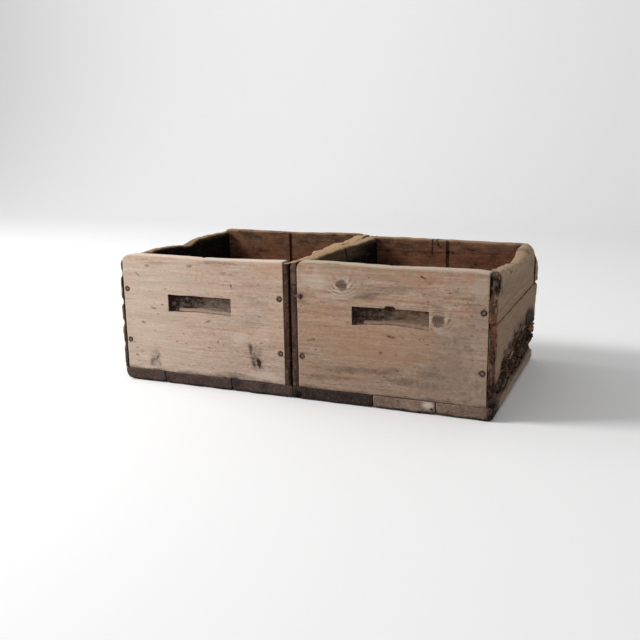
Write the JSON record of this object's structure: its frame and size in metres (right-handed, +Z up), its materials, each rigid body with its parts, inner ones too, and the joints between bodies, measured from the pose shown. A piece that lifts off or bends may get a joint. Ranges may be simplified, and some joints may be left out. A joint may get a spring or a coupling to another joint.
{
  "type": "milk bottle crate",
  "caption": "Open double-box wooden crate for milk bottles, nailed from thick pine boards, with scooped hand-holds and grooves for loose dividers.",
  "frame": {"origin": "middle of the underside of the floor boards, on the surface the crate stands on", "axes": "+X across both boxes from the left-hand one to the right-hand one, +Y from the front panels to the back panels, +Z up"},
  "size_m": [0.618, 0.3644, 0.212],
  "materials": {
    "pine_pale": "weathered bare softwood, pale and dry",
    "pine_brown": "weathered bare softwood, warm brown",
    "pine_dry": "bare softwood, brown, dry",
    "pine_grey": "bare softwood, grey-brown, worn and partly decayed",
    "pine_dark": "bare softwood, dark with age",
    "pine_black": "bare softwood, nearly black from damp",
    "rusty_nail": "rusted"
  },
  "bodies": {
    "root": {"left_front_panel": "pine_pale", "left_back_panel": "pine_dry", "left_outer_side": "pine_dark", "left_inner_side": "pine_dark", "right_front_panel": "pine_brown", "right_back_panel_lower": "pine_dry", "right_back_panel_upper": "pine_dry", "right_inner_side": "pine_dark", "right_outer_side_lower": "pine_grey", "right_outer_side_upper": "pine_grey", "left_floor_board_1": "pine_black", "left_floor_board_2": "pine_black", "left_floor_board_3": "pine_black", "right_floor_board_1": "pine_black", "right_floor_board_2": "pine_black", "right_floor_board_3": "pine_black", "left_front_nail_1": "rusty_nail", "left_front_nail_2": "rusty_nail", "left_front_nail_3": "rusty_nail", "left_front_nail_4": "rusty_nail", "left_back_nail_1": "rusty_nail", "left_back_nail_2": "rusty_nail", "left_back_nail_3": "rusty_nail", "left_back_nail_4": "rusty_nail", "right_front_nail_1": "rusty_nail", "right_front_nail_2": "rusty_nail", "right_front_nail_3": "rusty_nail", "right_front_nail_4": "rusty_nail", "right_back_nail_1": "rusty_nail", "right_back_nail_2": "rusty_nail", "right_back_nail_3": "rusty_nail", "right_back_nail_4": "rusty_nail", "right_back_nail_5": "rusty_nail", "right_back_nail_6": "rusty_nail", "left_floor_nail_1": "rusty_nail", "left_floor_nail_2": "rusty_nail", "left_floor_nail_3": "rusty_nail", "left_floor_nail_4": "rusty_nail", "left_floor_nail_5": "rusty_nail", "left_floor_nail_6": "rusty_nail", "left_floor_nail_7": "rusty_nail", "left_floor_nail_8": "rusty_nail", "left_floor_nail_9": "rusty_nail", "left_floor_nail_10": "rusty_nail", "right_floor_nail_1": "rusty_nail", "right_floor_nail_2": "rusty_nail", "right_floor_nail_3": "rusty_nail", "right_floor_nail_4": "rusty_nail", "right_floor_nail_5": "rusty_nail", "right_floor_nail_6": "rusty_nail", "right_floor_nail_7": "rusty_nail", "right_floor_nail_8": "rusty_nail", "right_floor_nail_9": "rusty_nail", "right_floor_nail_10": "rusty_nail", "joining_nail_1": "rusty_nail", "joining_nail_2": "rusty_nail", "joining_nail_3": "rusty_nail", "joining_nail_4": "rusty_nail"}
  },
  "joints": []
}
